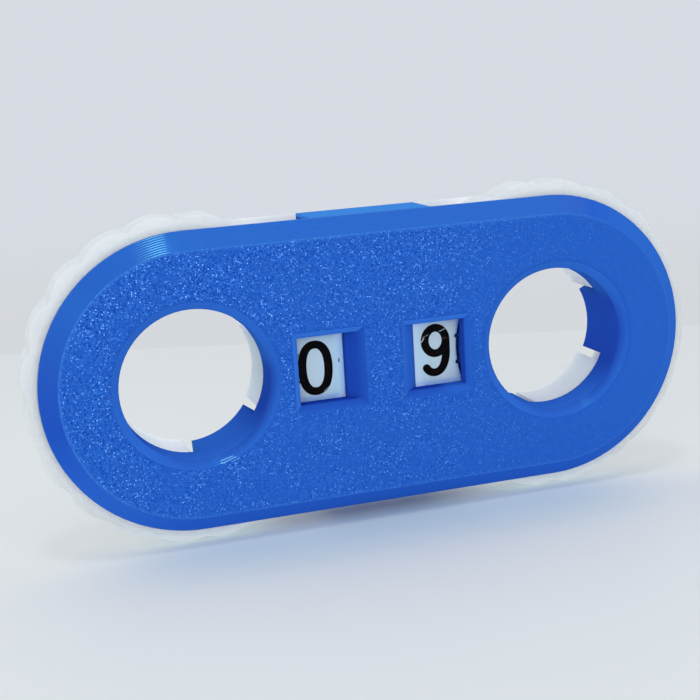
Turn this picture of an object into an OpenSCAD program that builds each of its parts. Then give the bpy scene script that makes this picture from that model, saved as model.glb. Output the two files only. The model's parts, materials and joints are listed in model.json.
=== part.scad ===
// Score counter for two players or for tens and ones.
// Two number wheels turn between a front cover and a back cover. The front cover carries the windows,
// the centre web and the snap fingers. The back cover carries the hubs that the wheels turn on.
// The model is laid out on its back, seen from the front, and is then stood up on its wheels.

/* [Covers] */
// Distance between the axes of the two wheels
hub_pitch = 50; // [48.5:0.5:56]
// Radius of the round ends of both covers
cover_r = 19.55; // [19:0.05:20.1]
// Thickness of each cover plate
plate_t = 2.4; // [2:0.1:3.2]
// Straight land that the 45 degree rim chamfer leaves on each plate
rim_land = 0.1; // [0.1:0.1:1]
// Width of the slot between the two plates, in which the wheels turn
slot_w = 6.8; // [6:0.1:9]

/* [Hubs] */
// Radius of the open hole through each hub
hole_r = 9.76; // [8.5:0.02:10.5]
// Width of the 45 degree chamfer round each hole in the front face
hole_chamfer = 1.1; // [0.4:0.1:1.6]
// Outer radius of the hub that the wheel turns on
hub_r = 13.5; // [13:0.05:14]
// Height of the closed collar behind the front plate
collar_h = 2.6; // [1.8:0.1:3.2]

/* [Snap fingers] */
// Middle of each snap finger round the left hub, seen from the front
left_fingers = [-61.5, 66, 182]; // [-90:0.5:270]
// Middle of each snap finger round the right hub, seen from the front
right_fingers = [2.5, 116, 229.5]; // [-90:0.5:270]
// Angle that one finger takes up round the hole
finger_arc = 51.5; // [40:0.5:56]
// Radial thickness of a finger
finger_t = 2; // [1.4:0.05:2.2]
// How far the catch at the tip stands out from the finger
catch_h = 0.45; // [0.3:0.05:0.6]
// Height of the straight crown of the catch
catch_land = 0.25; // [0.1:0.05:0.4]
// Clearance at both sides of a finger, along the hole's wall
finger_side_gap = 1.15; // [0.6:0.05:1.6]
// Radial clearance behind a finger
finger_back_gap = 0.25; // [0.15:0.05:0.4]
// How far a finger's tip stays inside the back face
tip_inside = 1.2; // [0.4:0.1:1.6]
// Clearance between a catch and the shoulder that holds it
catch_gap = 0.1; // [0.1:0.05:0.4]

/* [Windows] */
// Distance from a wheel's axis to the middle of its window, at the wheel
window_out = 16.75; // [16.5:0.05:17.2]
// Width of a window at the wheel
window_w = 6.6; // [6.2:0.05:7.2]
// Height of a window at the wheel
window_h = 8.9; // [7.5:0.05:10]
// Width of the 45 degree bevel in front of the three straight sides of a window
window_bevel = 0.8; // [0.2:0.05:1]

/* [Wheels] */
// Radius over the lobes of a wheel
wheel_r = 21.5; // [21.2:0.05:22]
// Number of figures on a wheel
figures = 10; // [6:2:12]
// Radius of the arc of one grip lobe
lobe_r = 6; // [5:0.1:8]
// Width of the 45 degree chamfer on both rims, measured at the top of a lobe
rim_chamfer = 1.1; // [0.4:0.1:1.5]
// Running clearance between a hub and the wheel's bore
bore_gap = 0.3; // [0.2:0.05:0.5]
// Clearance between a wheel and each plate
end_gap = 0.22; // [0.15:0.01:0.4]
// Width of the chamfer on both ends of the wheel's bore
bore_chamfer = 0.2; // [0.1:0.05:0.5]

/* [Clicks] */
// Angle between the two click notches of one figure
notch_spread = 14.9; // [10:0.1:18]
// Radius of the rounded end of a click notch
notch_r = 0.3; // [0.2:0.05:0.5]
// Depth of a click notch in the wheel's bore
notch_depth = 0.4; // [0.3:0.05:0.7]
// Clearance between a click ridge on the collar and the bore of a wheel as it turns past
ridge_gap = 0.06; // [0.04:0.01:0.1]
// Distance that a click ridge stops short of both ends of the collar
ridge_inset = 0.4; // [0.2:0.05:0.8]

/* [Centre web] */
// Width of the web where it shows between the covers, above and below
web_w = 16.5; // [12:0.5:22]
// Clearance between the web's hollow sides and the lobes of the wheels
web_gap = 0.6; // [0.4:0.05:1]

/* [Hidden] */
$fn = 144;
total_t = 2 * plate_t + slot_w;
plate_chamfer = plate_t - rim_land;
hub_x = hub_pitch / 2;
front_plate_z = plate_t + slot_w;
collar_z = front_plate_z - collar_h;
finger_out = hole_r + finger_t;
catch_out = finger_out + catch_h;
notch_out = finger_out + finger_back_gap;
notch_out_back = catch_out + finger_back_gap;
lead_in = catch_h + finger_t / 6;
crown_z = tip_inside + lead_in;
catch_top = crown_z + catch_land;
shoulder_z = catch_top + catch_gap;
side_gap_angle = finger_side_gap / hole_r * 180 / PI;
bore_r = hub_r + bore_gap;
wheel_t = slot_w - 2 * end_gap;
lobes = 2 * figures;
lobe_out = wheel_r - lobe_r;
stand_h = lobe_out * cos(180 / lobes) + lobe_r;
ridge_h = bore_gap - ridge_gap;
// Cutting bodies run past the faces that they cut by this much
past = 1;

// Stands the laid-out model up on its wheels, with the front towards -Y
module stand() {
    translate([0, total_t / 2, stand_h]) rotate([90, 0, 0]) children();
}

// Half section of a cover plate: inner face at 0, outer face at plate_t, chamfered rim
function half_section() = [
    [0, 0],
    [cover_r, 0],
    [cover_r, rim_land],
    [cover_r - plate_chamfer, plate_t],
    [0, plate_t]
];

// Plate with two round ends, made of two half turns and a straight bar between them
module cover_plate() {
    for (side = [0, 1]) {
        rotate([0, 0, 180 * side])
            translate([hub_x, 0, 0])
                rotate([0, 0, -90])
                    rotate_extrude(angle = 180) polygon(half_section());
    }
    bar = concat(half_section(), [for (p = [3, 2, 1]) [-half_section()[p].x, half_section()[p].y]]);
    rotate([90, 0, 90]) linear_extrude(height = hub_pitch, center = true) polygon(bar);
}

// Section of an opening through a plate, with a 45 degree bevel of its own width in front of each side
module opening_outline(size, first_bevel, second_bevel) {
    polygon([
        [-size / 2, -past],
        [size / 2, -past],
        [size / 2, plate_t - second_bevel],
        [size / 2 + second_bevel + past, plate_t + past],
        [-size / 2 - first_bevel - past, plate_t + past],
        [-size / 2, plate_t - first_bevel]
    ]);
}

// Rectangular window through a plate: the side towards the web slopes through the plate's whole thickness
module window_cut() {
    reach = 2 * (window_w + window_h);
    intersection() {
        rotate([90, 0, 0]) linear_extrude(height = reach, center = true)
            opening_outline(window_w, plate_t, window_bevel);
        rotate([90, 0, 90]) linear_extrude(height = reach, center = true)
            opening_outline(window_h, window_bevel, window_bevel);
    }
}

// One snap finger: a slice of tube with a catch round the outside of its tip
module finger(middle) {
    rotate([0, 0, middle - finger_arc / 2]) rotate_extrude(angle = finger_arc) polygon([
        [hole_r - past, tip_inside],
        [finger_out - finger_t / 6, tip_inside],
        [catch_out, crown_z],
        [catch_out, catch_top],
        [finger_out, catch_top + catch_h],
        [finger_out, collar_z + past],
        [hole_r - past, collar_z + past]
    ]);
}

// Room for one finger: a notch right through the back cover, with a shoulder that holds the catch
module finger_notch(middle) {
    arc = finger_arc + 2 * side_gap_angle;
    rotate([0, 0, middle - arc / 2]) rotate_extrude(angle = arc) polygon([
        [hole_r - past, -past],
        [notch_out_back, -past],
        [notch_out_back, shoulder_z],
        [notch_out, shoulder_z + catch_h],
        [notch_out, collar_z + past],
        [hole_r - past, collar_z + past]
    ]);
}

// Two low ridges on the collar, in front of the window, that the wheel's notches drop on
module click_ridges() {
    for (turn = [-notch_spread / 2, notch_spread / 2]) {
        rotate([0, 0, turn]) translate([hub_r + ridge_h - notch_r, 0, collar_z + ridge_inset])
            cylinder(r = notch_r, h = collar_h - 2 * ridge_inset);
    }
}

// Web between the wheels, hollowed on both sides to follow them
module centre_web() {
    difference() {
        translate([-web_w / 2, -cover_r, plate_t]) cube([web_w, 2 * cover_r, slot_w]);
        for (x = [-hub_x, hub_x]) {
            translate([x, 0, plate_t - past]) cylinder(r = wheel_r + web_gap, h = slot_w + past);
        }
    }
}

module front_cover() {
    color("royalblue") stand() difference() {
        union() {
            difference() {
                translate([0, 0, front_plate_z]) cover_plate();
                for (turn = [0, 180]) {
                    rotate([0, 0, turn]) translate([hub_x - window_out, 0, front_plate_z]) window_cut();
                }
            }
            centre_web();
            for (x = [-hub_x, hub_x]) {
                translate([x, 0, collar_z]) cylinder(r = hub_r, h = collar_h);
            }
            translate([-hub_x, 0, 0]) click_ridges();
            translate([hub_x, 0, 0]) rotate([0, 0, 180]) click_ridges();
            for (middle = left_fingers) translate([-hub_x, 0, 0]) finger(middle);
            for (middle = right_fingers) translate([hub_x, 0, 0]) finger(middle);
        }
        for (x = [-hub_x, hub_x]) translate([x, 0, 0]) {
            cylinder(r = hole_r, h = total_t + past);
            translate([0, 0, total_t - hole_chamfer])
                cylinder(r1 = hole_r, r2 = hole_r + hole_chamfer + past, h = hole_chamfer + past);
        }
    }
}

module back_cover() {
    color("whitesmoke") stand() difference() {
        union() {
            translate([0, 0, plate_t]) mirror([0, 0, 1]) cover_plate();
            for (x = [-hub_x, hub_x]) {
                translate([x, 0, plate_t / 2]) cylinder(r = hub_r, h = collar_z - plate_t / 2);
            }
        }
        for (x = [-hub_x, hub_x]) {
            translate([x, 0, -past]) cylinder(r = hole_r, h = total_t);
        }
        for (middle = left_fingers) translate([-hub_x, 0, 0]) finger_notch(middle);
        for (middle = right_fingers) translate([hub_x, 0, 0]) finger_notch(middle);
    }
}

// Ring with a chamfered bore and rims that rise at 45 degrees past the tops of the lobes
module wheel_blank() {
    face_r = wheel_r - rim_chamfer;
    rise = rim_chamfer + past;
    rotate_extrude() polygon([
        [bore_r, bore_chamfer],
        [bore_r + bore_chamfer, 0],
        [face_r, 0],
        [face_r + rise, rise],
        [face_r + rise, wheel_t - rise],
        [face_r, wheel_t],
        [bore_r + bore_chamfer, wheel_t],
        [bore_r, wheel_t - bore_chamfer]
    ]);
}

// Number wheel: the grip lobes meet in narrow valleys, one valley in line with each figure and one between
module wheel() {
    translate([0, 0, plate_t + end_gap]) difference() {
        intersection() {
            wheel_blank();
            union() {
                for (i = [0 : lobes - 1]) {
                    rotate([0, 0, (i + 0.5) * 360 / lobes]) translate([lobe_out, 0, -past])
                        cylinder(r = lobe_r, h = wheel_t + 2 * past);
                }
            }
        }
        for (i = [0 : figures - 1], turn = [-notch_spread / 2, notch_spread / 2]) {
            rotate([0, 0, i * 360 / figures + turn])
                translate([bore_r + notch_depth - notch_r, 0, -past])
                    cylinder(r = notch_r, h = wheel_t + 2 * past, $fn = 24);
        }
    }
}

module left_wheel() {
    color("white") stand() translate([-hub_x, 0, 0]) wheel();
}

module right_wheel() {
    color("white") stand() translate([hub_x, 0, 0]) wheel();
}

front_cover();
back_cover();
left_wheel();
right_wheel();
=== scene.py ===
import json
import math
from types import SimpleNamespace

import bmesh
import bpy
from mathutils import Matrix, Vector
from mathutils.geometry import delaunay_2d_cdt


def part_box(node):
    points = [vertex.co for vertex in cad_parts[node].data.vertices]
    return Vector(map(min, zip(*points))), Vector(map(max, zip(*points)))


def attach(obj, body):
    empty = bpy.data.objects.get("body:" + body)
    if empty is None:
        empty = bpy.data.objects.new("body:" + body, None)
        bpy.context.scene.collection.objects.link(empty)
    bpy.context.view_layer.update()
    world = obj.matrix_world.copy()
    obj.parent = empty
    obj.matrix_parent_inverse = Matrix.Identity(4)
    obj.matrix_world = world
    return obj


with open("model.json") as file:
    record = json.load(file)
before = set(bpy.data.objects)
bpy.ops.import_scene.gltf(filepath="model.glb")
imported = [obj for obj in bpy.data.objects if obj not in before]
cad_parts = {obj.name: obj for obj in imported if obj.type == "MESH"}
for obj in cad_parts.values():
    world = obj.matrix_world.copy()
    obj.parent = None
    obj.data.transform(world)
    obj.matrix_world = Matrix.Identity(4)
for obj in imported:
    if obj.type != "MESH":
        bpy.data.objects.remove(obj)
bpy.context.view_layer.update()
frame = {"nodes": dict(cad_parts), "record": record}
MM = 0.001


# Back cover: a plate with round ends and two hubs, printed in white plastic with its outer face on the
# textured print bed. It snaps over the front cover's fingers, and shows through the two holes and as a
# thin white rim behind the wheels.
def shader_node(tree, kind, inputs=None, **settings):
    """Adds one node. Settings are its own options, and inputs are values or links for its sockets."""
    node = tree.nodes.new(kind)
    for key, value in settings.items():
        setattr(node, key, value)
    for key, value in (inputs or {}).items():
        if isinstance(value, bpy.types.NodeSocket):
            tree.links.new(value, node.inputs[key])
        else:
            node.inputs[key].default_value = value
    return node


def maths(tree, operation, first, second=0.0, clamp=False):
    """One Math node, and its result."""
    node = shader_node(tree, "ShaderNodeMath", {0: first, 1: second}, operation=operation, use_clamp=clamp)
    return node.outputs[0]


def product(tree, first, *others):
    """All the values multiplied together."""
    for other in others:
        first = maths(tree, "MULTIPLY", first, other)
    return first


def without(tree, share):
    """The rest of a share: 1 where it is 0, and 0 where it is 1."""
    return maths(tree, "SUBTRACT", 1.0, share, clamp=True)


def axis_parts(tree, vector):
    """The X, Y and Z of a vector."""
    return shader_node(tree, "ShaderNodeSeparateXYZ", {"Vector": vector}).outputs


def noise(tree, coordinates, per_metre, detail):
    """A soft cloudy pattern between 0 and 1."""
    inputs = {"Vector": coordinates, "Scale": per_metre, "Detail": detail}
    return shader_node(tree, "ShaderNodeTexNoise", inputs).outputs["Fac"]


def cells(tree, coordinates, per_metre):
    """A pattern of small cells: the distance from a cell's middle, and a random colour for each."""
    inputs = {"Vector": coordinates, "Scale": per_metre, "Randomness": 1.0}
    return shader_node(tree, "ShaderNodeTexVoronoi", inputs).outputs


def ramp(tree, value, low, high, out_low=0.0, out_high=1.0):
    """Smooth step from out_low, where the value is low, to out_high, where it is high."""
    node = shader_node(
        tree,
        "ShaderNodeMapRange",
        {"Value": value, "From Min": low, "From Max": high, "To Min": out_low, "To Max": out_high},
        interpolation_type="SMOOTHSTEP",
    )
    return node.outputs["Result"]


def mix_colours(tree, share, first, second):
    """The first colour where share is 0 and the second where it is 1."""
    node = shader_node(
        tree, "ShaderNodeMix", {"Factor": share, "A": first, "B": second}, data_type="RGBA", clamp_factor=True
    )
    return node.outputs["Result"]


def srgb(red, green, blue):
    """Linear colour of an sRGB one given from 0 to 255."""
    channels = [c / 255 for c in (red, green, blue)]
    linear = [c / 12.92 if c <= 0.04045 else ((c + 0.055) / 1.055) ** 2.4 for c in channels]
    return (*linear, 1.0)


def new_finish(name):
    """An empty material with its node tree, a Principled shader and the piece's own coordinates."""
    material = bpy.data.materials.new(name)
    material.use_nodes = True
    tree = material.node_tree
    tree.nodes.clear()
    shader = shader_node(tree, "ShaderNodeBsdfPrincipled")
    output = shader_node(tree, "ShaderNodeOutputMaterial", {"Surface": shader.outputs["BSDF"]})
    output.is_active_output = True
    coordinates = shader_node(tree, "ShaderNodeTexCoord").outputs["Object"]
    return material, tree, shader, coordinates


BEAD_ROUND = 0.035 * MM  # depth of the groove between two layers
BED_NEAR = 0.02 * MM  # how close to the bed a surface still has the bed's texture
BED_CLEAR = 0.05 * MM  # how far from it the texture has gone
WAVERS_PER_METRE = 260.0  # how often the layers' lines waver


def layer_lines(tree, coordinates, layer, wobble):
    """Height of the printed layers' rounded beads, 0 in a groove and 1 on a bead's crest."""
    shift = maths(tree, "MULTIPLY", noise(tree, coordinates, WAVERS_PER_METRE, 2.0), wobble)
    depth = maths(tree, "ADD", axis_parts(tree, coordinates)["Y"], shift)
    return maths(tree, "ABSOLUTE", maths(tree, "SINE", maths(tree, "MULTIPLY", depth, math.pi / layer)))


def near_plane(tree, coordinates, plane_y):
    """1 on the face that lay on the print bed, at plane_y, and 0 off it."""
    away = maths(tree, "ABSOLUTE", maths(tree, "SUBTRACT", axis_parts(tree, coordinates)["Y"], plane_y))
    return ramp(tree, away, BED_NEAR, BED_CLEAR, 1.0, 0.0)


def edge_catch(tree, radius):
    """How far the edge nearby turns the surface, 0 on a flat, and the normal of the rounded edge."""
    rounded = shader_node(tree, "ShaderNodeBevel", {"Radius": radius}, samples=6).outputs["Normal"]
    true_normal = shader_node(tree, "ShaderNodeNewGeometry").outputs["Normal"]
    agree = shader_node(
        tree, "ShaderNodeVectorMath", {0: rounded, 1: true_normal}, operation="DOT_PRODUCT"
    ).outputs["Value"]
    return without(tree, agree), rounded


# The right hub's axis, at this distance from the middle and this height. The left one is its mirror image
HUB_OUT, _, HUB_UP = next(m["pos_m"] for m in frame["record"]["mounts"] if m["name"] == "right_hole")


def from_hub(tree, parts):
    """Distance from the axis of the nearer hub."""
    across = maths(tree, "SUBTRACT", maths(tree, "ABSOLUTE", parts["X"]), HUB_OUT)
    up = maths(tree, "SUBTRACT", parts["Z"], HUB_UP)
    squares = maths(tree, "ADD", maths(tree, "POWER", across, 2.0), maths(tree, "POWER", up, 2.0))
    return maths(tree, "SQRT", squares)


def from_hub_line(tree, parts):
    """Height above or below the line through both hubs."""
    return maths(tree, "ABSOLUTE", maths(tree, "SUBTRACT", parts["Z"], HUB_UP))


def near_line(tree, coordinates, start, end, reach):
    """1 on the line between two (x, z) points given in mm, and 0 from reach on, also in mm."""
    first = Vector((start[0], 0, start[1])) * MM
    along = Vector((end[0] - start[0], 0, end[1] - start[1])) * MM

    def vector_maths(operation, output, inputs):
        return shader_node(tree, "ShaderNodeVectorMath", inputs, operation=operation).outputs[output]

    flat = vector_maths("MULTIPLY", "Vector", {0: coordinates, 1: (1, 0, 1)})
    past = vector_maths("SUBTRACT", "Vector", {0: flat, 1: first})
    share = vector_maths("DOT_PRODUCT", "Value", {0: past, 1: along / along.length_squared})
    share = maths(tree, "ADD", share, 0.0, clamp=True)
    foot = vector_maths("SCALE", "Vector", {0: along, "Scale": share})
    away = vector_maths("DISTANCE", "Value", {0: past, 1: foot})
    return ramp(tree, away, 0.4 * reach * MM, reach * MM, 1.0, 0.0)


WHITE = srgb(235, 237, 235)
WHITE_GROOVE = srgb(221, 225, 227)  # between two layers
WHITE_MOTTLE = srgb(225, 229, 230)
WHITE_PAD_SHADE = srgb(213, 226, 226)  # painted shade on the hubs' pads, where they face sideways
WHITE_LAYER = 0.2 * MM  # thickness of a printed layer
WHITE_WOBBLE = 0.03 * MM  # how far the lines between the layers stray
WHITE_EDGE = 0.3 * MM  # rounding of the edges
WHITE_GRAIN_PER_METRE = 3000.0  # the bed's grain
MOTTLE_PER_METRE = 900.0  # soft cloudy marks in the white
WHITE_SPREAD = 3.5 * MM  # how far light spreads inside the plastic
WHITE_SHINE = 1.46  # refractive index
RIM_SHELTER = 4 * MM  # how near a piece has to stand to keep the open air off a rim
FIELD_NEAR = 4.95 * MM  # where the wheel's face starts to show in a window, from the counter's middle
FIELD_FAR = 11.55 * MM  # where it ends
FIELD_HALF = 4.45 * MM  # how far it shows above and below the line of the hubs
FIELD_EDGE = srgb(150, 198, 255)  # painted blue light, deeper close to the window's sloping walls
RING_TINT = srgb(196, 233, 251)  # painted blue light thrown by the walls on the face in the left window; the next one is the same in the right window
RING_TINT_RIGHT = srgb(192, 226, 238)
SEEP = (0.93, 0.95, 0.96, 1.0)  # painted glow for daylight that has come through the white plastic, also lightening the rims' shade
THROWN = (0.67, 0.7, 1.0, 1.0)  # painted glow for light thrown back by the blue walls

# Stretches over which a painted tint or a painted glow comes or goes, in the counter's own frame
TINT_OUT = (12.0 * MM, 12.8 * MM)  # sideways from the counter's middle, behind the blue plate
TINT_UP = (5.2 * MM, 6.2 * MM)  # up and down from the line of the hubs, behind the plate
TINT_DEPTH = (-2.5 * MM, -2.0 * MM)  # just behind the wheels' faces
TINT_FADE = (5.5 * MM, 9.0 * MM)  # from the web outward, where the tint gets weaker
TINT_BORDER = (0.1 * MM, 0.9 * MM)  # inward from the edges, where it is deeper
LEFT_TO_RIGHT = (-1.0 * MM, 1.0 * MM)  # from the left window's side to the right one's
NO_WEB_BORDER = -3.0 * MM  # instead of FIELD_NEAR in the right window, where the web's side stays pale
TO_WEB_SIDE = (0.0, 1.0 * MM)  # from the counter's middle to the right, under the web
TO_RIGHT_WINDOW = (0.0, 3.0 * MM)  # the same, further out
WEB_GLOW = (5.5 * MM, 8.0 * MM)  # outward from the web's right wall
PAD_END = (10.2 * MM, 10.6 * MM)  # round a hub's axis, just outside its pads
RIM_START = (19.0 * MM, 19.8 * MM)  # round a hub's axis, where the wheel stands out from under the plate
HUB_TO_HUB = (-20 * MM, 20 * MM)  # across both windows, between the holes
LEFT_END = (-46 * MM, -38 * MM)  # the far left, which gets less of the light from behind


def tint_in_windows(tree, colour, stands, bed):
    """Painted blue light that the windows' walls throw on the face between them: colour, place and painted
    glow.
    """
    across = maths(tree, "ABSOLUTE", stands["X"])
    above = from_hub_line(tree, stands)
    window = product(
        tree,
        ramp(tree, across, *TINT_OUT, 1.0, 0.0),
        ramp(tree, above, *TINT_UP, 1.0, 0.0),
        ramp(tree, stands["Y"], *TINT_DEPTH, 1.0, 0.0),
        bed,
    )
    tinted = product(tree, window, ramp(tree, across, *TINT_FADE, 1.0, 0.6))
    ring = mix_colours(tree, ramp(tree, stands["X"], *LEFT_TO_RIGHT), RING_TINT, RING_TINT_RIGHT)
    colour = mix_colours(tree, tinted, colour, ring)

    # The painted blue light is deeper along the edges, except beside the web in the right window
    from_web = ramp(tree, stands["X"], *TO_WEB_SIDE, -FIELD_NEAR, NO_WEB_BORDER)
    in_x = maths(tree, "ADD", across, from_web)
    in_x = maths(tree, "MINIMUM", in_x, maths(tree, "SUBTRACT", FIELD_FAR, across))
    in_z = maths(tree, "SUBTRACT", FIELD_HALF, above)
    by_edge = ramp(tree, maths(tree, "MINIMUM", in_x, in_z), *TINT_BORDER, 0.7, 0.0)
    colour = mix_colours(tree, product(tree, by_edge, window), colour, FIELD_EDGE)
    beside_web = ramp(tree, stands["X"], *WEB_GLOW, 0.1, 0.0)
    thrown = product(tree, window, beside_web, ramp(tree, stands["X"], *TO_RIGHT_WINDOW))
    return colour, window, thrown


def light_through(tree, colour, stands):
    """Painted glow for daylight that seeps through the hubs' thin pads, painted shade on the pads that face
    sideways, and a painted glow that lightens the rims' shade by the plate: colour and glow.
    """
    upward = axis_parts(tree, shader_node(tree, "ShaderNodeTexCoord").outputs["Normal"])["Z"]
    hub_away = from_hub(tree, stands)
    in_hole = product(
        tree,
        ramp(tree, hub_away, *PAD_END, 1.0, 0.0),
        ramp(tree, stands["X"], *HUB_TO_HUB, 1.0, 0.45),
    )
    looks_up = ramp(tree, upward, 0.0, 0.9, 0.0, 0.24)
    looks_down = ramp(tree, upward, -0.9, -0.4, 0.34, 0.0)
    seeping = product(tree, maths(tree, "ADD", looks_up, looks_down), in_hole)
    # Painted shade on the pads where they face sideways
    aside = product(tree, ramp(tree, upward, 0.8, 1.0, 1.0, 0.0), ramp(tree, upward, -0.8, -0.4), in_hole)
    colour = mix_colours(tree, aside, colour, WHITE_PAD_SHADE)
    # A painted glow on the rims, where a piece nearby keeps the open air off them
    shelter = {"Distance": RIM_SHELTER}
    open_air = shader_node(tree, "ShaderNodeAmbientOcclusion", shelter, samples=6).outputs["AO"]
    rim = product(
        tree,
        ramp(tree, hub_away, *RIM_START, 0.0, 0.2),
        ramp(tree, stands["X"], *LEFT_END, 0.3, 1.0),
        without(tree, open_air),
    )
    return colour, maths(tree, "ADD", seeping, rim)


def white_print(name, bed_y, marks=()):
    """White printed plastic: soft, slightly see-through, with fine layer lines off the bed face."""
    material, tree, shader, place = new_finish(name)
    lines = layer_lines(tree, place, WHITE_LAYER, WHITE_WOBBLE)
    bed = near_plane(tree, place, bed_y)
    grain = cells(tree, place, WHITE_GRAIN_PER_METRE)["Distance"]
    cloud = noise(tree, place, MOTTLE_PER_METRE, 3.0)
    rounded = edge_catch(tree, WHITE_EDGE)[1]
    groove = product(tree, ramp(tree, lines, 0.0, 0.35, 1.0, 0.0), without(tree, bed))
    colour = mix_colours(tree, groove, WHITE, WHITE_GROOVE)
    colour = mix_colours(tree, ramp(tree, cloud, 0.45, 0.7, 0.0, 0.6), colour, WHITE_MOTTLE)

    # The painted blue light, painted shade and painted glows stay where the covers are, while the wheels turn
    # past them, so they go by the place itself
    stands = axis_parts(tree, shader_node(tree, "ShaderNodeNewGeometry").outputs["Position"])
    colour, window, thrown = tint_in_windows(tree, colour, stands, bed)
    for start, end, reach, mark_colour in marks:
        colour = mix_colours(tree, near_line(tree, place, start, end, reach), colour, mark_colour)
    colour, seeping = light_through(tree, colour, stands)
    tree.links.new(colour, shader.inputs["Base Color"])
    tree.links.new(maths(tree, "ADD", seeping, thrown), shader.inputs["Emission Strength"])
    tree.links.new(mix_colours(tree, window, SEEP, THROWN), shader.inputs["Emission Color"])

    height = shader_node(tree, "ShaderNodeMix", {"Factor": bed, "A": lines, "B": grain}, data_type="FLOAT")
    relief = {"Height": height.outputs["Result"], "Strength": 0.4, "Distance": BEAD_ROUND, "Normal": rounded}
    bump = shader_node(tree, "ShaderNodeBump", relief)
    tree.links.new(bump.outputs["Normal"], shader.inputs["Normal"])
    tree.links.new(ramp(tree, cloud, 0.3, 0.7, 0.38, 0.52), shader.inputs["Roughness"])
    shader.inputs["IOR"].default_value = WHITE_SHINE
    tree.links.new(ramp(tree, window, 0.0, 1.0, 0.85, 0.1), shader.inputs["Subsurface Weight"])
    shader.inputs["Subsurface Radius"].default_value = (1.0, 0.95, 0.9)
    shader.inputs["Subsurface Scale"].default_value = WHITE_SPREAD
    return material


def dress(node_name, material):
    """Gives a piece of the frame its finish."""
    piece = frame["nodes"][node_name]
    piece.data.materials.clear()
    piece.data.materials.append(material)


back_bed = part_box("back_cover")[1].y  # its outer face lay on the print bed
dress("back_cover", white_print("white_cover_plastic", back_bed))


# Number wheels: two white rings with twenty rounded grip lobes each, printed face down, so that the front
# face with the figures is flat and finely mottled and the rims show their layers. Each turns on a hub.
DIRT = [((-5.52, 21.62), (-5.5, 22.05), 0.12, srgb(48, 66, 74))]  # a dark speck beside the 0

for side in ("left", "right"):
    wheel_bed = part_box(side + "_wheel")[0].y
    finish = white_print(side + "_wheel_plastic", wheel_bed, DIRT if side == "left" else ())
    dress(side + "_wheel", finish)


# Figures: 0 to 9 in black plastic, printed into the first layers of each wheel's face. Each is drawn with
# a pen that writes a little broader on the uprights than across, and stands upright in its window.
PEN_ACROSS = 1.02  # breadth of a level stroke, in mm
PEN_UPRIGHT = 1.14  # breadth of an upright stroke, in mm
FIGURE_PROUD = 0.02  # how far a figure stands out of the wheel's face, in mm
FIGURE_DEEP = 0.38  # how deep it goes into the wheel, in mm
CURVE_STEP = math.radians(6)
JOIN_SIDES = 20  # sides of the round spot where two strokes of the pen join


def arc(centre, radii, start, end, power=2.0):
    """Points on an arc from start to end, in degrees; a power over 2 makes its sides fuller."""
    first, last = math.radians(start), math.radians(end)
    count = max(2, round(abs(last - first) / CURVE_STEP))
    points = []
    for i in range(count + 1):
        turn = first + (last - first) * i / count
        across, up = math.cos(turn), math.sin(turn)
        points.append(
            (
                centre[0] + radii[0] * math.copysign(abs(across) ** (2 / power), across),
                centre[1] + radii[1] * math.copysign(abs(up) ** (2 / power), up),
            )
        )
    return points


def figure_strokes(figure):
    """Pen paths of one figure, as (points, round_ends), in mm from the middle of the figure."""
    tall = 3.12  # half the height between the pen's middle lines
    wide = 1.78  # half the width between them
    slim, low = 1.5, 3.05  # the same for 6 and 9, which are narrower and a little lower
    if figure == 0:
        return [(arc((0, 0), (wide, tall), 90, 450, 2.35), True)]
    if figure == 1:
        return [([(0.35, -tall - 0.5), (0.35, tall + 0.45)], False), ([(-1.25, 1.95), (0.35, 3.1)], False)]
    if figure == 2:
        bow = arc((0, 1.35), (wide, tall - 1.35), 165, -25)
        return [(bow + [(-1.65, -tall), (2.1, -tall)], False)]
    if figure == 3:
        upper = arc((-0.05, 1.62), (1.55, tall - 1.62), 160, -90)
        lower = arc((-0.05, -1.52), (wide, tall - 1.52), 90, -165)
        return [(upper, False), (lower, False)]
    if figure == 4:
        return [([(0.9, -tall - 0.5), (0.9, tall), (-2.0, -1.35), (2.2, -1.35)], False)]
    if figure == 5:
        bow = arc((0, -1.05), (wide, tall - 1.05), 130, -160)
        return [([(1.95, tall), (-1.1, tall), (-1.5, 0.45)], False), (bow, False)]
    if figure == 6:
        back = arc((0.21, 0), (slim + 0.21, low), 48, 180, 2.2)
        return [(arc((0, -1.31), (slim, low - 1.31), 90, 450), True), (back + [(-slim, -1.3)], True)]
    if figure == 7:
        return [([(-1.9, tall), (1.75, tall)] + arc((3.4, -4.0), (4.1, 6.9), 112, 173), False)]
    if figure == 8:
        upper = arc((0, 1.66), (1.5, tall - 1.66), 90, 450)
        return [(upper, True), (arc((0, -1.46), (wide, tall - 1.46), 90, 450), True)]
    sweep = arc((-0.21, 0), (slim + 0.21, low), 0, -132, 2.2)
    return [(arc((0, 1.31), (slim, low - 1.31), 90, 450), True), ([(slim, 1.3)] + sweep, True)]


def pen_outline(strokes):
    """Flat mesh of the strokes' union: corner points, and the triangles that lie under the pen."""
    corners, quads = [], []

    def add_face(points):
        quads.append(list(range(len(corners), len(corners) + len(points))))
        corners.extend(Vector(p) for p in points)

    for points, round_ends in strokes:
        for i in range(len(points) - 1):
            start, end = Vector(points[i]), Vector(points[i + 1])
            along = (end - start).normalized()
            breadth = PEN_ACROSS + (PEN_UPRIGHT - PEN_ACROSS) * abs(along.y)
            side = Vector((-along.y, along.x)) * breadth / 2
            add_face([start - side, end - side, end + side, start + side])
        joins = points if round_ends else points[1:-1]
        for point in joins:
            half = (PEN_ACROSS + (PEN_UPRIGHT - PEN_ACROSS) * 0.5) / 2
            turns = [k * math.tau / JOIN_SIDES for k in range(JOIN_SIDES)]
            add_face([(point[0] + half * math.cos(a), point[1] + half * math.sin(a)) for a in turns])
    flat, _, faces, _, _, under = delaunay_2d_cdt(corners, [], quads, 0, 1e-5)
    return flat, [face for face, found in zip(faces, under) if found]


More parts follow.
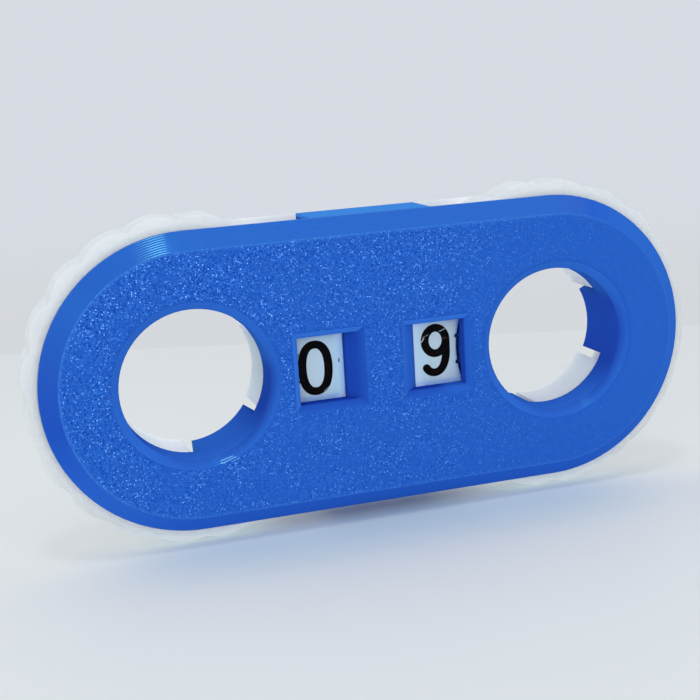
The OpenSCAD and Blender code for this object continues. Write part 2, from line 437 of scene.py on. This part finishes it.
def figure_mesh(name, figure):
    """Closed plate of one figure: front at y = 0, facing -Y, in metres round the figure's middle."""
    flat, faces = pen_outline(figure_strokes(figure))
    mesh = bmesh.new()
    vertices = [mesh.verts.new((p.x * MM, 0, p.y * MM)) for p in flat]
    for face in faces:
        mesh.faces.new([vertices[i] for i in face])
    bmesh.ops.delete(mesh, geom=[v for v in mesh.verts if not v.link_faces], context="VERTS")
    bmesh.ops.recalc_face_normals(mesh, faces=mesh.faces)
    for face in mesh.faces:
        if face.normal.y > 0:
            face.normal_flip()
    bmesh.ops.dissolve_limit(mesh, angle_limit=0.001, verts=mesh.verts, edges=mesh.edges)
    front = list(mesh.faces)
    grown = bmesh.ops.extrude_face_region(mesh, geom=front, use_keep_orig=True)
    back = [v for v in grown["geom"] if isinstance(v, bmesh.types.BMVert)]
    bmesh.ops.translate(mesh, verts=back, vec=(0, (FIGURE_PROUD + FIGURE_DEEP) * MM, 0))
    bmesh.ops.recalc_face_normals(mesh, faces=mesh.faces)
    data = bpy.data.meshes.new(name)
    mesh.to_mesh(data)
    mesh.free()
    return data


BLACK = srgb(5, 7, 10)
BLACK_RUBBED = srgb(28, 12, 9)
RUBS_PER_METRE = 1500.0
RUB_DEPTH = 0.01 * MM
BLACK_SHINE = 1.4  # refractive index
SCRATCHES = [
    ((6.13, 22.77), (6.50, 23.29), 0.1, srgb(205, 207, 212)),
    ((6.33, 23.41), (7.14, 23.72), 0.08, srgb(120, 120, 125)),
    ((8.80, 24.00), (9.55, 24.26), 0.09, srgb(160, 178, 172)),
    ((9.09, 23.04), (9.72, 23.01), 0.14, srgb(66, 44, 38)),
    ((-8.05, 17.6), (-7.2, 18.0), 0.1, srgb(165, 180, 200)),
    ((-7.75, 17.9), (-7.1, 18.4), 0.09, srgb(140, 155, 175)),
]  # pale scratches across the 9 and at the foot of the 0


def figure_black():
    """Black printed plastic, nearly matt, rubbed a little browner in places, with fine scratches."""
    material, tree, shader, place = new_finish("figure_black")
    rub = noise(tree, place, RUBS_PER_METRE, 3.0)
    colour = mix_colours(tree, ramp(tree, rub, 0.45, 0.7), BLACK, BLACK_RUBBED)
    for start, end, reach, mark_colour in SCRATCHES:
        colour = mix_colours(tree, near_line(tree, place, start, end, reach), colour, mark_colour)
    tree.links.new(colour, shader.inputs["Base Color"])
    bump = shader_node(tree, "ShaderNodeBump", {"Height": rub, "Strength": 0.4, "Distance": RUB_DEPTH})
    tree.links.new(bump.outputs["Normal"], shader.inputs["Normal"])
    tree.links.new(ramp(tree, rub, 0.3, 0.7, 0.4, 0.6), shader.inputs["Roughness"])
    shader.inputs["IOR"].default_value = BLACK_SHINE
    shader.inputs["Specular IOR Level"].default_value = 0.05
    return material


FIGURES = 10
FIGURE_OUT = {"left": 16.23, "right": 16.89}  # middle of a figure from its wheel's axis, in mm
FIGURE_LIFT = {"left": -0.13, "right": 0.19}  # how far it stands above the line of the axes, in mm
WINDOW_TURN = {"left": 0.0, "right": math.pi}  # where the window stands, seen from the wheel's axis
SHOWN = {"left": 0, "right": 9}  # figure in each window

black = figure_black()
for side in ("left", "right"):
    wheel_low, wheel_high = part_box(side + "_wheel")
    axis = (wheel_low + wheel_high) / 2
    for figure in range(FIGURES):
        piece_name = f"{side}_figure_{figure}"
        piece = bpy.data.objects.new(piece_name, figure_mesh(piece_name, figure))
        bpy.context.scene.collection.objects.link(piece)
        turn = (figure - SHOWN[side]) * math.tau / FIGURES
        in_window = Matrix.Translation(
            (
                math.cos(WINDOW_TURN[side]) * FIGURE_OUT[side] * MM,
                wheel_low.y - FIGURE_PROUD * MM,
                FIGURE_LIFT[side] * MM,
            )
        )
        round_wheel = Matrix.Translation((axis.x, 0, axis.z)) @ Matrix.Rotation(turn, 4, "Y")
        piece.data.transform(round_wheel @ in_window)
        piece.data.materials.append(black)
        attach(piece, side + "_dial")


# Front cover: blue plastic, printed face down on the textured bed, so its face sparkles finely while the
# rim chamfer, the windows and the collars show smooth layer lines. Its snap fingers hold the back cover.
BLUE_LOW = srgb(20, 72, 178)  # hollows of the bed's grain
BLUE_HIGH = srgb(60, 128, 236)  # its tops
BLUE_SPECK = srgb(110, 175, 255)  # painted glints of the grain
SPARKLE = (0.3, 0.58, 1.0, 1.0)  # their painted glow
BLUE_SMOOTH = srgb(39, 94, 205)  # the rim's chamfer, along the top
BLUE_RIM_LEFT = srgb(35, 86, 196)  # painted shade where the rim looks left
BLUE_RIM_RIGHT = srgb(52, 115, 216)  # painted light where it looks right
BLUE_UNDER = srgb(50, 110, 219)  # painted light where it looks down
BLUE_MOUTH = srgb(50, 111, 215)  # painted light on the chamfers of the holes and windows, on their shaded side
BLUE_MOUTH_LIT = srgb(57, 122, 224)  # brighter painted light on the holes' lit side
BLUE_BEVEL_LIT = srgb(66, 136, 242)  # and on the windows' lit side
BLUE_WALL = srgb(41, 84, 178)  # painted shade on the left hole's wall
BLUE_WALL_RIGHT = srgb(44, 88, 194)  # painted shade on the right hole's
BLUE_WALL_LOW = srgb(33, 68, 172)  # deeper painted shade where the walls start to look up
BLUE_WALL_TOP = srgb(56, 114, 203)  # painted light where they look down
BLUE_LEDGE = srgb(56, 119, 218)  # painted top light on fingers that look up
BLUE_TIP = srgb(80, 160, 250)  # painted light on sides of the left hole's fingers that look left
BLUE_SLIT = srgb(28, 64, 178)  # painted shade deep in a window
BLUE_HIDDEN = srgb(24, 56, 145)  # painted shade behind the plate
BLUE_WEB_TOP_LIT = srgb(70, 146, 226)  # painted top light on the web's upper end
BLUE_DEEP = srgb(33, 88, 198)  # between two layers
BLUE_EDGE_HIGHLIGHT = srgb(84, 156, 250)  # painted highlight: the broken pale line along the outer edge
BLUE_PAINTED_GLINT = srgb(130, 200, 250)  # painted highlight on beads that shine
BLUE_GLINT_VALLEY = srgb(22, 88, 178)  # darker between them, within the painted highlight
BLUE_SHEEN = (0.08, 0.66, 0.95, 1.0)  # tint of the reflections
BLUE_SHINE = 1.6  # refractive index
BLUE_LAYER = 0.25 * MM  # from line to line as drawn here; the real layers are about 0.2 mm thick
BLUE_WOBBLE = 0.02 * MM
BLUE_GRAIN_PER_METRE = 3400.0  # relief of the bed's grain
FINE_PER_METRE = 4600.0  # its light and dark spots
SPECKS_PER_METRE = 4200.0  # its glints
PATCHES_PER_METRE = 220.0  # areas where the grain took better or worse
FACE_EDGE = 0.8 * MM  # how far in from an edge the face is rounded and smoother, with the painted pale highlight
RIM_EDGE = 0.3 * MM  # the same on the chamfers
MOUTH_EDGE = 0.6 * MM  # the same in the holes and windows
PAINTED_GLINT_LINES = [
    ((-22.68, 11.17), (-21.16, 11.59), 0.08),
    ((-22.49, 10.92), (-20.77, 11.50), 0.07),
    ((-22.82, 10.93), (-22.3, 10.92), 0.08),
    ((-21.4, 10.95), (-20.38, 11.38), 0.05),
]  # painted highlight: short shining beads on the left hole's chamfer

# Stretches over which a look, a painted light or a painted shade of the blue plastic comes or goes
MOUTH_END = (11.2 * MM, 11.6 * MM)  # round a hub's axis, just outside the hole's chamfer
WINDOWS_OUT = (12.5 * MM, 13.5 * MM)  # sideways from the counter's middle, just outside the windows
WINDOWS_UP = (6.0 * MM, 7.0 * MM)  # up and down from the line of the hubs, just outside the windows
INTO_DEPTH = (-5.8 * MM, -4.6 * MM)  # from the face down into the holes and windows
PLATE_BACK = (-3.35 * MM, -3.25 * MM)  # what is behind it takes the plate's painted shade, or at the web's top the painted top light
GRAIN_LEFT = (-34 * MM, -4 * MM)  # along the face, where the grain gets weaker towards the right
GRAIN_RIGHT = (4 * MM, 24 * MM)  # and weaker again past the middle
GRAIN_END = (28 * MM, 37 * MM)  # and at the right end
GRAIN_UP = (6 * MM, 38 * MM)  # up the face, where it gets stronger
LEFT_TIPS = (-24.5 * MM, -23.5 * MM)  # just past the left hub's axis, where the painted light on the fingers' sides ends
SHADE_END = (7.0 * MM, 10.0 * MM)  # outward in the right window, where the painted shade gets weaker
WEB_TOP_UP = (40.3 * MM, 40.6 * MM)  # at the web's upper end, where the painted top light starts
LINE_END = (20 * MM, 36 * MM)  # where the edge's painted pale highlight gets weaker towards the right
SHINE_START = (-32.0 * MM, -28.6 * MM)  # along the rim's chamfer, where the painted highlight on its layers starts
SHINE_END = (-27.6 * MM, -26.9 * MM)  # where the painted highlight stops
SHINE_UP = (35.0 * MM, 36.0 * MM)  # only on the upper side
BEADS_DEPTH = (-4.7 * MM, -4.5 * MM)  # just behind the hole's chamfer, where the painted shining beads end


def cover_places(tree, place, bed_y):
    """Where a point of the front cover is and which way it looks: masks from 0 to 1, and plain values."""
    parts = axis_parts(tree, place)
    facing = axis_parts(tree, shader_node(tree, "ShaderNodeTexCoord").outputs["Normal"])
    at = SimpleNamespace(x=parts["X"], y=parts["Y"], z=parts["Z"], aside=facing["X"], upward=facing["Z"])
    at.bed = near_plane(tree, place, bed_y)
    at.off_bed = without(tree, at.bed)
    at.in_hole = ramp(tree, from_hub(tree, parts), *MOUTH_END, 1.0, 0.0)
    at.by_window = product(
        tree,
        ramp(tree, maths(tree, "ABSOLUTE", at.x), *WINDOWS_OUT, 1.0, 0.0),
        ramp(tree, from_hub_line(tree, parts), *WINDOWS_UP, 1.0, 0.0),
    )
    at.inner = maths(tree, "MAXIMUM", at.in_hole, at.by_window)
    at.deep = ramp(tree, at.y, *INTO_DEPTH)
    at.behind = ramp(tree, at.y, *PLATE_BACK)
    at.on_right = ramp(tree, at.x, *HUB_TO_HUB)
    at.sloped = ramp(tree, maths(tree, "ABSOLUTE", facing["Y"]), 0.3, 0.65)
    at.rightward = ramp(tree, at.aside, 0.0, 0.5)
    at.downward = ramp(tree, at.upward, -0.6, 0.0, 1.0, 0.0)
    at.lit_side = maths(tree, "MAXIMUM", at.rightward, at.downward)
    at.shaded = without(tree, at.lit_side)
    return at


def bed_roughness(tree, place, at, catch):
    """How well the bed's grain took: best at the left and upper end of the face, hardly at its edges."""
    return product(
        tree,
        ramp(tree, at.x, *GRAIN_LEFT, 1.0, 0.7),
        ramp(tree, at.x, *GRAIN_RIGHT, 1.0, 0.28),
        ramp(tree, at.x, *GRAIN_END, 1.0, 0.35),
        ramp(tree, at.z, *GRAIN_UP, 0.8, 1.2),
        ramp(tree, noise(tree, place, PATCHES_PER_METRE, 3.0), 0.3, 0.62, 0.45, 1.0),
        ramp(tree, catch, 0.0, 0.03, 1.0, 0.25),
        at.bed,
    )


def bed_glints(tree, place, rough_bed):
    """Painted glints on specks of the bed's grain, bright and glowing for a few of them."""
    specks = cells(tree, place, SPECKS_PER_METRE)
    spot = ramp(tree, specks["Distance"], 0.12, 0.5, 1.0, 0.0)
    lucky = shader_node(tree, "ShaderNodeSeparateColor", {"Color": specks["Color"]}).outputs["Red"]
    return product(tree, spot, maths(tree, "POWER", ramp(tree, lucky, 0.5, 1.0), 2.8), rough_bed)


def slope_colour(tree, at):
    """The rim's chamfer, and the mouths of the holes and windows, with painted light and shade by the way
    they look: lighter where they look right or down, darker where the rim looks left.
    """
    rim = mix_colours(tree, at.rightward, BLUE_SMOOTH, BLUE_RIM_RIGHT)
    rim = mix_colours(tree, ramp(tree, at.aside, -0.5, -0.1, 1.0, 0.0), rim, BLUE_RIM_LEFT)
    rim = mix_colours(tree, at.downward, rim, BLUE_UNDER)
    mouth = mix_colours(tree, at.by_window, BLUE_MOUTH_LIT, BLUE_BEVEL_LIT)
    mouth = mix_colours(tree, at.lit_side, BLUE_MOUTH, mouth)
    return mix_colours(tree, at.inner, rim, mouth)


def wall_colour(tree, at):
    """The walls of the holes with painted shade, and painted light on the fingers that look up, on the walls
    that look down and on the left fingers' sides.
    """
    wall = mix_colours(tree, at.on_right, BLUE_WALL, BLUE_WALL_RIGHT)
    wall = mix_colours(tree, ramp(tree, at.upward, -0.1, 0.6, 0.0, 0.5), wall, BLUE_WALL_LOW)
    wall = mix_colours(tree, ramp(tree, at.upward, 0.4, 1.0), wall, BLUE_LEDGE)
    tilt = maths(tree, "ADD", at.upward, maths(tree, "MULTIPLY", at.on_right, 0.4))
    wall = mix_colours(tree, ramp(tree, tilt, -0.3, 0.0, 1.0, 0.0), wall, BLUE_WALL_TOP)
    tip = product(
        tree,
        ramp(tree, at.aside, -0.9, -0.6, 1.0, 0.0),
        at.in_hole,
        ramp(tree, at.x, *LEFT_TIPS, 1.0, 0.0),
    )
    return mix_colours(tree, tip, wall, BLUE_TIP)


def smooth_colour(tree, at, lines):
    """Everything that didn't lie on the print bed: slopes, walls, the windows' depths and the web, with their
    painted light and shade.
    """
    in_wall = product(tree, at.deep, at.shaded, at.in_hole)
    in_wall = maths(tree, "MAXIMUM", without(tree, at.sloped), in_wall)
    smooth = mix_colours(tree, in_wall, slope_colour(tree, at), wall_colour(tree, at))

    # Painted shade on the windows' shaded slopes and walls, and on the right window's slope beside the web
    narrow = ramp(tree, at.sloped, 0.0, 1.0, 0.7, 0.42)
    narrow = maths(tree, "ADD", narrow, product(tree, at.deep, 0.3))
    web_side = product(tree, at.rightward, ramp(tree, at.x, *TO_RIGHT_WINDOW, 0.0, 0.5))
    narrow = product(
        tree,
        narrow,
        maths(tree, "ADD", at.shaded, web_side, clamp=True),
        ramp(tree, at.x, *SHADE_END, 1.0, 0.2),
        at.by_window,
    )
    smooth = mix_colours(tree, narrow, smooth, BLUE_SLIT)
    # Painted shade behind the plate in the windows, and painted top light on the web's upper end
    smooth = mix_colours(tree, product(tree, at.behind, at.by_window), smooth, BLUE_HIDDEN)
    web_top_lit = product(tree, at.behind, ramp(tree, at.z, *WEB_TOP_UP))
    smooth = mix_colours(tree, web_top_lit, smooth, BLUE_WEB_TOP_LIT)
    return mix_colours(tree, ramp(tree, lines, 0.0, 0.5, 0.6, 0.0), smooth, BLUE_DEEP)


def painted_glint_beads(tree, place, at, colour, lines):
    """Painted highlight: layers painted shining where the lamp stands over them, on the left end's chamfer
    and in the left hole.
    """
    lit = product(
        tree,
        at.sloped,
        at.off_bed,
        ramp(tree, at.x, *SHINE_START),
        ramp(tree, at.x, *SHINE_END, 1.0, 0.0),
        ramp(tree, at.z, *SHINE_UP, 0.0, 0.42),
    )
    band = mix_colours(tree, ramp(tree, lines, 0.5, 0.95), BLUE_GLINT_VALLEY, BLUE_PAINTED_GLINT)
    colour = mix_colours(tree, lit, colour, band)
    at_mouth = ramp(tree, at.y, *BEADS_DEPTH, 0.85, 0.0)
    for start, end, reach in PAINTED_GLINT_LINES:
        bead = product(tree, near_line(tree, place, start, end, reach), at_mouth)
        colour = mix_colours(tree, bead, colour, BLUE_PAINTED_GLINT)
    return colour


def blue_print(name, bed_y):
    """Blue printed plastic with the bed's sparkle on its face as painted glints, layer lines everywhere else,
    and painted light and shade by place and facing.
    """
    material, tree, shader, place = new_finish(name)
    lines = layer_lines(tree, place, BLUE_LAYER, BLUE_WOBBLE)
    at = cover_places(tree, place, bed_y)
    edge = ramp(tree, at.bed, 0.0, 1.0, RIM_EDGE, FACE_EDGE)
    edge = maths(tree, "MAXIMUM", edge, ramp(tree, at.inner, 0.0, 1.0, 0.0, MOUTH_EDGE))
    catch, rounded = edge_catch(tree, edge)
    rough_bed = bed_roughness(tree, place, at, catch)
    fine = noise(tree, place, FINE_PER_METRE, 2.0)
    grainy = product(tree, maths(tree, "SUBTRACT", fine, 0.5), rough_bed, 2.8)
    face = mix_colours(tree, maths(tree, "ADD", grainy, 0.44), BLUE_LOW, BLUE_HIGH)
    colour = mix_colours(tree, at.off_bed, face, smooth_colour(tree, at, lines))

    # A painted highlight: the outer edge catches a broken pale line
    line = product(
        tree,
        ramp(tree, catch, 0.0, 0.07),
        ramp(tree, at.inner, 0.0, 1.0, 0.7, 0.0),
        ramp(tree, fine, 0.35, 0.65, 0.55, 1.0),
        ramp(tree, at.x, *LINE_END, 1.0, 0.6),
    )
    colour = mix_colours(tree, line, colour, BLUE_EDGE_HIGHLIGHT)
    colour = painted_glint_beads(tree, place, at, colour, lines)
    # Painted glints of the grain, which also glow
    glint = bed_glints(tree, place, rough_bed)
    colour = mix_colours(tree, glint, colour, BLUE_SPECK)
    tree.links.new(maths(tree, "MULTIPLY", glint, 0.75), shader.inputs["Emission Strength"])
    shader.inputs["Emission Color"].default_value = SPARKLE
    tree.links.new(colour, shader.inputs["Base Color"])

    grain = cells(tree, place, BLUE_GRAIN_PER_METRE)["Distance"]
    beads = maths(tree, "MULTIPLY", lines, 0.6)
    height = shader_node(tree, "ShaderNodeMix", {"Factor": at.bed, "A": beads, "B": grain}, data_type="FLOAT")
    relief = {"Height": height.outputs["Result"], "Strength": 1.0, "Distance": BEAD_ROUND, "Normal": rounded}
    bump = shader_node(tree, "ShaderNodeBump", relief)
    tree.links.new(bump.outputs["Normal"], shader.inputs["Normal"])
    tree.links.new(ramp(tree, at.bed, 0.0, 1.0, 0.15, 0.5), shader.inputs["Roughness"])
    shader.inputs["IOR"].default_value = BLUE_SHINE

    # Slopes that look up keep a sheen in the plastic's own colour, and walls and other slopes have none
    sheen = product(
        tree,
        at.sloped,
        ramp(tree, at.upward, -0.2, 0.7, 0.0, 1.0),
        ramp(tree, at.inner, 0.0, 1.0, 1.0, 0.2),
        ramp(tree, at.aside, -0.05, 0.25, 1.0, 0.0),
    )
    tree.links.new(sheen, shader.inputs["Specular IOR Level"])
    shader.inputs["Specular Tint"].default_value = BLUE_SHEEN
    return material


front_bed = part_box("front_cover")[0].y  # the flat face lay on the print bed
dress("front_cover", blue_print("blue_cover_plastic", front_bed))


# Table: a plain pale sheet with a soft gloss. It ends softly a hand's breadth behind the counter, where
# the plain backdrop starts.
TABLE_REACH = 2.0  # half the side of the sheet that stands for table and backdrop, in metres
TABLE_END = 0.11  # distance from the counter to where the backdrop starts
TABLE_FADE = 0.003  # half the breadth of the soft edge there
BACKDROP_RISE = 0.25  # how far past the table's end the backdrop has its upper colour
TABLE_TURN = math.radians(22.4)  # turn of the sheet's far edge, from +X towards -Y
TABLE_PALE = srgb(240, 240, 235)
TABLE_PAINTED_SHADE = srgb(214, 231, 232)  # painted shadow with a painted blue reflection, close to the counter's foot
TABLE_PAINTED_GLOW = (0.9, 0.76, 0.9, 1.0)  # painted glow that lightens the shade under the counter's ends
FOOT_BEFORE = (-24 * MM, -6 * MM)  # in front of the counter, where the painted shadow comes up
FOOT_BEHIND = (-1 * MM, 4 * MM)  # under the counter, where it ends
FOOT_OUT = (20 * MM, 45 * MM)  # where it ends sideways
GLOW_MIDDLE = 1.5 * MM  # middle of the stretch where the painted glow is weakest
GLOW_OUT = (6 * MM, 13 * MM)  # where the painted glow grows stronger, sideways from there
TABLE_SHELTER = 12 * MM  # how near the counter has to be to keep the open air off the sheet
TABLE_ROUGH = 0.5
TABLE_SHINE = 1.45  # refractive index
TABLE_MIRROR = 0.15  # share of the usual reflections
BACKDROP_LOW = srgb(212, 216, 220)  # just above the table's end
BACKDROP_HIGH = srgb(215, 219, 227)

bpy.ops.mesh.primitive_plane_add(size=2 * TABLE_REACH)
table = bpy.context.object
table.name = "table"


def seen_directly(tree):
    """1 for what the camera sees, also in a reflection or through glass, and 0 for light on other things."""
    rays = shader_node(tree, "ShaderNodeLightPath").outputs
    seen = maths(tree, "MAXIMUM", rays["Is Camera Ray"], rays["Is Glossy Ray"])
    return maths(tree, "MAXIMUM", seen, rays["Is Transmission Ray"])


def table_finish():
    """Pale sheet with a soft gloss. Past its end it shows the backdrop's plain colour."""
    material, tree, shader, place = new_finish("table_sheet")
    shader.inputs["Roughness"].default_value = TABLE_ROUGH
    shader.inputs["IOR"].default_value = TABLE_SHINE
    shader.inputs["Specular IOR Level"].default_value = TABLE_MIRROR

    # Painted shadow and painted blue reflection on the sheet close to the counter's foot
    foot = axis_parts(tree, place)
    painted_shade_near_foot = product(
        tree,
        ramp(tree, foot["Y"], *FOOT_BEFORE),
        ramp(tree, maths(tree, "ABSOLUTE", foot["X"]), *FOOT_OUT, 1.0, 0.0),
        ramp(tree, foot["Y"], *FOOT_BEHIND, 1.0, 0.0),
    )
    tree.links.new(mix_colours(tree, painted_shade_near_foot, TABLE_PALE, TABLE_PAINTED_SHADE), shader.inputs["Base Color"])

    # A painted glow where the counter keeps the open air off the sheet, faint in the middle and stronger
    # under the counter's ends, lightening the shade there
    shelter = {"Distance": TABLE_SHELTER}
    open_air = shader_node(tree, "ShaderNodeAmbientOcclusion", shelter, samples=8).outputs["AO"]
    from_middle = maths(tree, "ABSOLUTE", maths(tree, "SUBTRACT", foot["X"], GLOW_MIDDLE))
    glow_share = ramp(tree, from_middle, *GLOW_OUT, 0.03, 0.11)
    tree.links.new(product(tree, without(tree, open_air), glow_share), shader.inputs["Emission Strength"])
    shader.inputs["Emission Color"].default_value = TABLE_PAINTED_GLOW

    # The sheet's far edge, and the backdrop beyond it
    turn = {"Vector": place, "Angle": TABLE_TURN}
    turned = shader_node(tree, "ShaderNodeVectorRotate", turn, rotation_type="Z_AXIS").outputs["Vector"]
    turned = axis_parts(tree, turned)
    away = maths(
        tree, "MAXIMUM", maths(tree, "ABSOLUTE", turned["X"]), maths(tree, "ABSOLUTE", turned["Y"])
    )
    fading = ramp(tree, turned["Y"], 0.0, TABLE_END, 0.0, 0.5)
    past = ramp(tree, away, TABLE_END - TABLE_FADE, TABLE_END + TABLE_FADE)
    beyond = maths(tree, "MAXIMUM", past, fading)
    rise = ramp(tree, away, TABLE_END, TABLE_END + BACKDROP_RISE)
    tint = mix_colours(tree, rise, BACKDROP_LOW, BACKDROP_HIGH)
    backdrop = shader_node(tree, "ShaderNodeEmission", {"Color": tint, "Strength": 1.0})
    share = product(tree, beyond, seen_directly(tree))
    layers = {"Fac": share, 1: shader.outputs["BSDF"], 2: backdrop.outputs["Emission"]}
    both = shader_node(tree, "ShaderNodeMixShader", layers)
    output = next(n for n in tree.nodes if n.type == "OUTPUT_MATERIAL")
    tree.links.new(both.outputs["Shader"], output.inputs["Surface"])
    return material


table.data.materials.append(table_finish())


# Light: an even pale surround, as in a white photo tent, a small lamp nearly overhead that draws the glint
# on the rim, and a broad faint lamp in front.
SURROUND = (0.86, 0.92, 1.0, 1.0)
SURROUND_LEVEL = 0.88

world = bpy.data.worlds.new("surround")
bpy.context.scene.world = world
world.use_nodes = True
sky = world.node_tree
sky.nodes.clear()
around = shader_node(sky, "ShaderNodeBackground", {"Color": SURROUND, "Strength": SURROUND_LEVEL})
behind = shader_node(sky, "ShaderNodeBackground", {"Color": BACKDROP_HIGH, "Strength": 1.0})
layers = {"Fac": seen_directly(sky), 1: around.outputs["Background"], 2: behind.outputs["Background"]}
surround_mix = shader_node(sky, "ShaderNodeMixShader", layers)
shader_node(sky, "ShaderNodeOutputWorld", {"Surface": surround_mix.outputs["Shader"]})


def soft_lamp(name, place, target, size, watts, colour):
    """A square lamp that faces target."""
    lamp = bpy.data.objects.new(name, bpy.data.lights.new(name, "AREA"))
    lamp.data.shape = "SQUARE"
    lamp.data.size = size
    lamp.data.energy = watts
    lamp.data.color = colour
    lamp.location = place
    lamp.rotation_euler = (Vector(target) - Vector(place)).to_track_quat("-Z", "Y").to_euler()
    bpy.context.scene.collection.objects.link(lamp)


COUNTER_MIDDLE = (0, 0, HUB_UP)
CEILING_PLACE = (-0.052, -0.11, 0.711)
FRONT_PLACE = (-0.60, -0.62, 0.30)
CEILING_COLOUR = (1.0, 0.98, 0.95)
FRONT_COLOUR = (1.0, 1.0, 1.0)
soft_lamp("ceiling_lamp", CEILING_PLACE, COUNTER_MIDDLE, size=0.12, watts=0.42, colour=CEILING_COLOUR)
soft_lamp("front_lamp", FRONT_PLACE, COUNTER_MIDDLE, size=0.6, watts=0.85, colour=FRONT_COLOUR)


# Camera: at the photograph's place and angle, less than 20 cm from the counter, to the left of its middle
# and a little above it.
CAMERA_PLACE = (-0.05581, -0.17222, 0.06141)
CAMERA_RIGHT = Vector((0.95035, -0.30544, -0.05957))  # the way the picture's right side points
CAMERA_UP = Vector((0.12051, 0.18472, 0.97538))
CAMERA_LENS = 70.66  # focal length in mm, for a picture as wide as PICTURE_WIDE
PICTURE_WIDE = 36.0  # also in mm

camera = bpy.data.objects.new("camera", bpy.data.cameras.new("camera"))
camera.data.lens = CAMERA_LENS
camera.data.sensor_width = PICTURE_WIDE
camera_turn = Matrix((CAMERA_RIGHT, CAMERA_UP, CAMERA_RIGHT.cross(CAMERA_UP))).transposed()
camera.matrix_world = Matrix.Translation(CAMERA_PLACE) @ camera_turn.to_4x4()
bpy.context.scene.collection.objects.link(camera)
bpy.context.scene.camera = camera
bpy.context.scene.view_settings.view_transform = "Standard"
